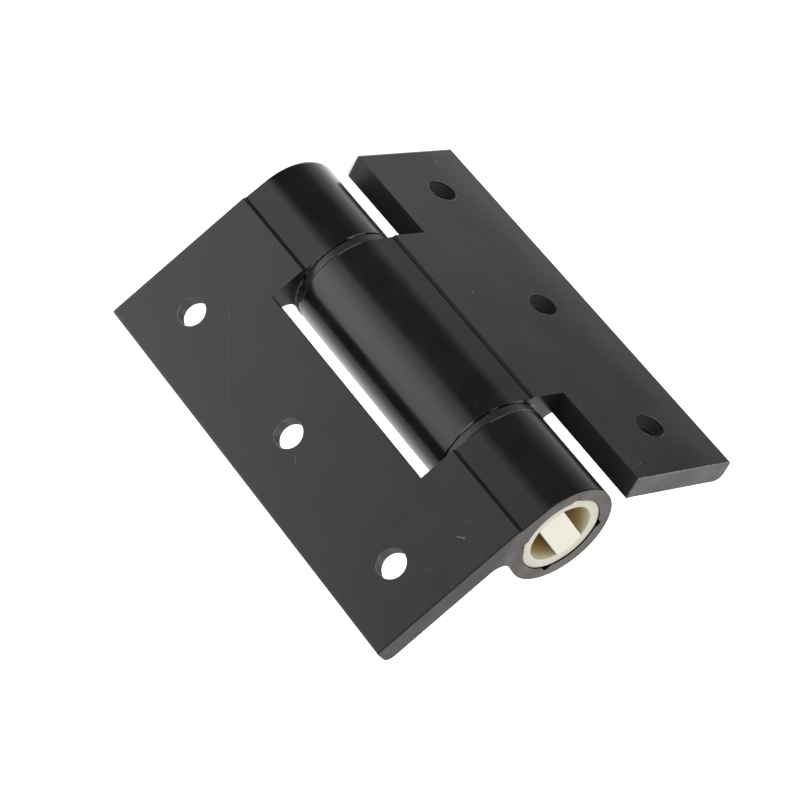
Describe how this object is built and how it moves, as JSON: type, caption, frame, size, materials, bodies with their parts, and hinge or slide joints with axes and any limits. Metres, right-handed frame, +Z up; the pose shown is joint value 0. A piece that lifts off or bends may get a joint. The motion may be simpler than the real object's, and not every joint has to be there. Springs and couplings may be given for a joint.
{
  "type": "free swing butt hinge",
  "caption": "Butt hinge with two extruded aluminium leaves, interlocking knuckles and nylon bushes; the leaves swing freely about a captive pin.",
  "frame": {"origin": "centre of the frame leaf's screw row, on its flat seating face", "axes": "+Z up along the barrel, as a door hinge hangs; +X from the barrel towards the frame leaf's outer edge; -Y out of the frame leaf's seating face"},
  "size_m": [0.0761, 0.0406, 0.1],
  "materials": {
    "anodised_leaf": "satin black anodised",
    "cream_nylon": "moulded satin",
    "black_washer": "moulded satin",
    "pin_steel": "ground"
  },
  "bodies": {
    "frame": {"frame_leaf": "anodised_leaf", "upper_end_bush": "cream_nylon", "lower_end_bush": "cream_nylon", "upper_thrust_washer": "black_washer", "lower_thrust_washer": "black_washer", "pivot_pin": "pin_steel"},
    "door": {"door_leaf": "anodised_leaf", "upper_knuckle_bush": "cream_nylon", "lower_knuckle_bush": "cream_nylon"}
  },
  "joints": [
    {"name": "leaf_swing", "type": "hinge", "parent": "frame", "child": "door", "pos_m": [-0.0284, 0.01275, 0], "axis": [0, 0, -1], "range_deg": [-143.4, 126.6]}
  ]
}
